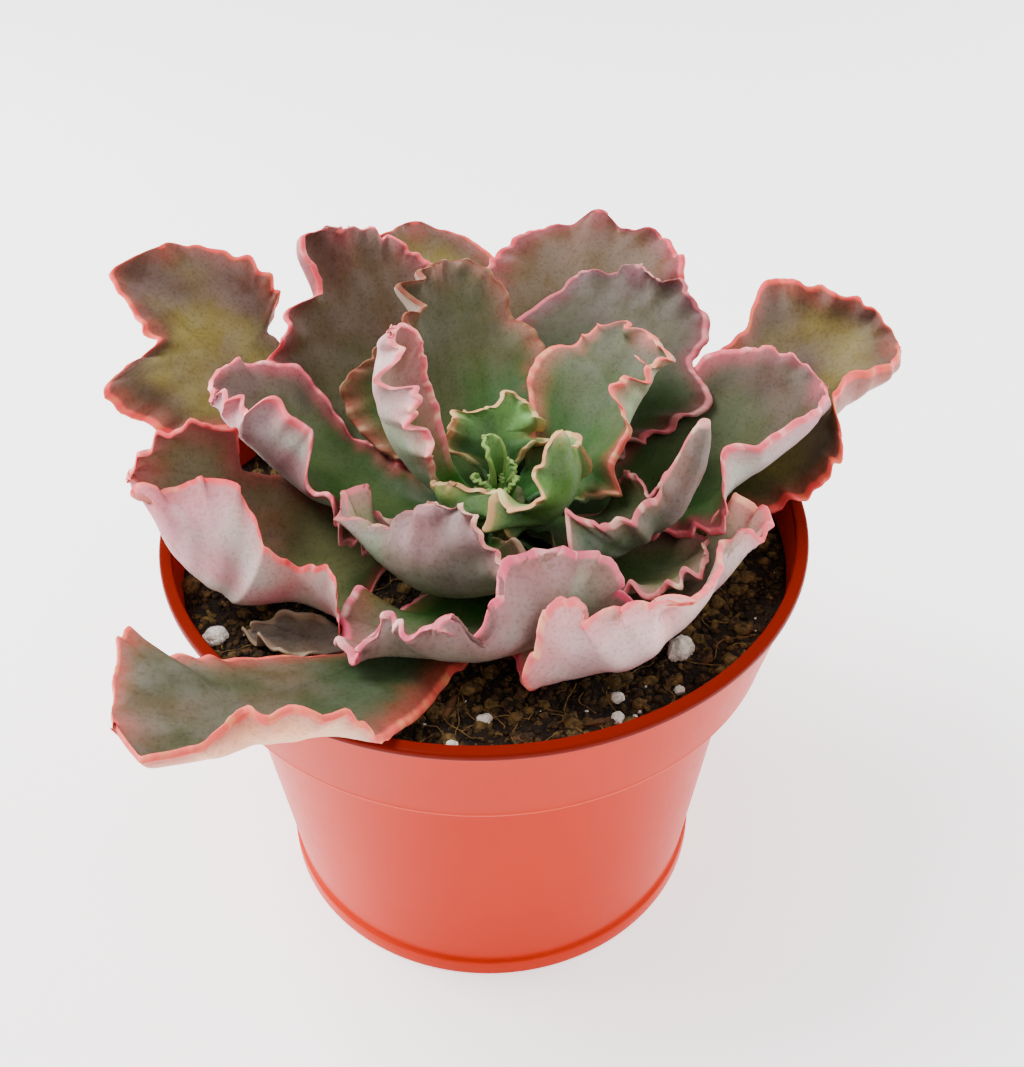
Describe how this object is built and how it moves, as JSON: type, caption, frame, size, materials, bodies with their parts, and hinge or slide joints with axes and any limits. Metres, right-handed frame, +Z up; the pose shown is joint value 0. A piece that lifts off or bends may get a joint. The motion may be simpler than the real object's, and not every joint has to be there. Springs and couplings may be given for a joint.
{
  "type": "potted curly echeveria",
  "caption": "Ruffled succulent rosette with pink-edged grey-green leaves, growing in a thin terracotta-orange plastic nursery pot.",
  "frame": {"origin": "middle of the whole plant's box from above, on the surface that the pot stands on", "axes": "+Z up, the viewer of the picture looks along +Y"},
  "size_m": [0.1972, 0.1903, 0.1514],
  "materials": {
    "plastic": "satin",
    "soil": "matte",
    "stem": "matte",
    "old_leaf": "satin",
    "leaf": "satin",
    "young_leaf": "satin",
    "dried_leaf": "matte",
    "perlite": "matte"
  },
  "bodies": {
    "root": {"pot": "plastic", "soil": "soil", "perlite_1": "perlite", "perlite_2": "perlite", "perlite_3": "perlite", "perlite_4": "perlite", "perlite_5": "perlite", "perlite_6": "perlite", "perlite_7": "perlite", "dried_leaf": "dried_leaf", "stem": "stem", "leaf_outer_far_left": "old_leaf", "leaf_outer_right": "old_leaf", "leaf_outer_back": "old_leaf", "leaf_outer_back_right": "old_leaf", "leaf_lowest_front_left": "old_leaf", "leaf_outer_front_right": "old_leaf", "leaf_lower_right": "old_leaf", "leaf_outer_left": "old_leaf", "leaf_outer_back_left": "old_leaf", "leaf_middle_front": "leaf", "leaf_middle_right": "leaf", "leaf_middle_left": "leaf", "leaf_middle_back_right": "leaf", "leaf_middle_back": "leaf", "leaf_inner_right": "leaf", "leaf_inner_front": "leaf", "leaf_inner_back_right": "young_leaf", "leaf_inner_back_left": "young_leaf", "leaf_heart_back": "young_leaf", "leaf_heart_right": "young_leaf", "leaf_heart_left": "young_leaf", "heart": "young_leaf"}
  },
  "joints": []
}
